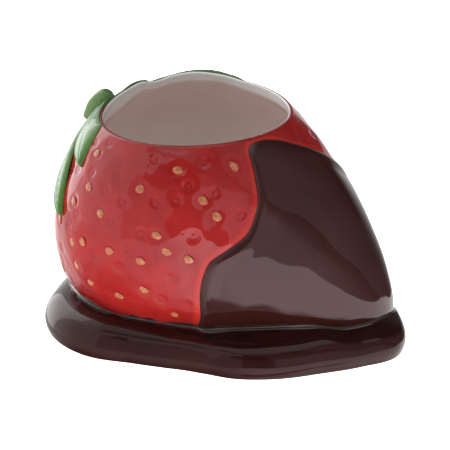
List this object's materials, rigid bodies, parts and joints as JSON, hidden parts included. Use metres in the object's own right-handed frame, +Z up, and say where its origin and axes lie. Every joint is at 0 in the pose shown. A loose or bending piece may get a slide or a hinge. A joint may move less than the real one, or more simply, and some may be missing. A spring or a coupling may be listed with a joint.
{
  "type": "ceramic strawberry sweet dish",
  "caption": "Glazed ceramic sweet dish in the shape of a chocolate-dipped strawberry lying in a puddle of chocolate, hollow inside with a wide level mouth on top.",
  "frame": {"origin": "middle of the flat foot", "axes": "+X towards the berry's tip, +Z up out of the mouth, and the berry's axis lies in the plane Y = 0"},
  "size_m": [0.1553, 0.1242, 0.0935],
  "materials": {
    "red_glaze": "gloss",
    "chocolate_glaze": "gloss",
    "leaf_glaze": "gloss",
    "seed_glaze": "gloss",
    "cream_lining": "gloss",
    "bare_clay": "matte"
  },
  "bodies": {
    "root": {"strawberry_cup": "red_glaze"}
  },
  "joints": []
}
